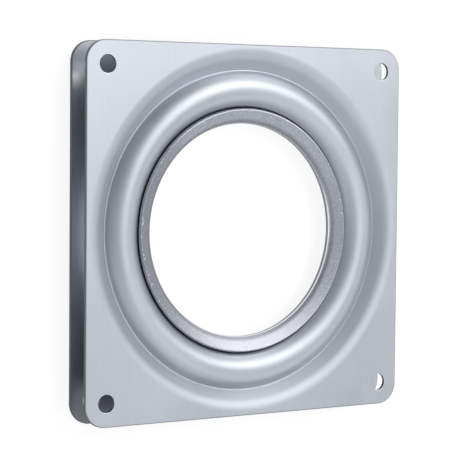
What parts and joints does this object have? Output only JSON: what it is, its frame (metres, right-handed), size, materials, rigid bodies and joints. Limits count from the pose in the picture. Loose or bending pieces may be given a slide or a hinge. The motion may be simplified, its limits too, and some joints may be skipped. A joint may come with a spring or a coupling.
{
  "type": "lazy susan bearing",
  "caption": "Square lazy susan bearing: stamped steel plates with corner screw holes turn against each other on a hidden ring of balls around an open centre.",
  "frame": {"origin": "on the bearing axis, in the plane of the bottom plate's underside", "axes": "+Z along the bearing axis, towards the plate that turns; X and Y along the sides of the plates"},
  "size_m": [0.1016, 0.1016, 0.0092],
  "materials": {
    "galvanised_steel": "satin zinc-coated sheet",
    "ball_steel": "polished"
  },
  "bodies": {
    "base": {"bottom_plate": "galvanised_steel"},
    "turntable": {"top_plate": "galvanised_steel"},
    "ball_ring": {"ball_01": "ball_steel", "ball_02": "ball_steel", "ball_03": "ball_steel", "ball_04": "ball_steel", "ball_05": "ball_steel", "ball_06": "ball_steel", "ball_07": "ball_steel", "ball_08": "ball_steel", "ball_09": "ball_steel", "ball_10": "ball_steel", "ball_11": "ball_steel", "ball_12": "ball_steel", "ball_13": "ball_steel", "ball_14": "ball_steel", "ball_15": "ball_steel", "ball_16": "ball_steel", "ball_17": "ball_steel", "ball_18": "ball_steel", "ball_19": "ball_steel", "ball_20": "ball_steel", "ball_21": "ball_steel", "ball_22": "ball_steel", "ball_23": "ball_steel", "ball_24": "ball_steel", "ball_25": "ball_steel", "ball_26": "ball_steel", "ball_27": "ball_steel", "ball_28": "ball_steel", "ball_29": "ball_steel", "ball_30": "ball_steel", "ball_31": "ball_steel", "ball_32": "ball_steel", "ball_33": "ball_steel", "ball_34": "ball_steel", "ball_35": "ball_steel", "ball_36": "ball_steel"}
  },
  "joints": [
    {"name": "turntable_spin", "type": "hinge", "parent": "base", "child": "turntable", "pos_m": [0, 0, 0.0046], "axis": [0, 0, 1], "continuous": true},
    {"name": "ball_ring_orbit", "type": "hinge", "parent": "base", "child": "ball_ring", "pos_m": [0, 0, 0.0046], "axis": [0, 0, 1], "continuous": true}
  ],
  "couplings": [
    {"joint": "ball_ring_orbit", "follows": "turntable_spin", "ratio": 0.5}
  ]
}
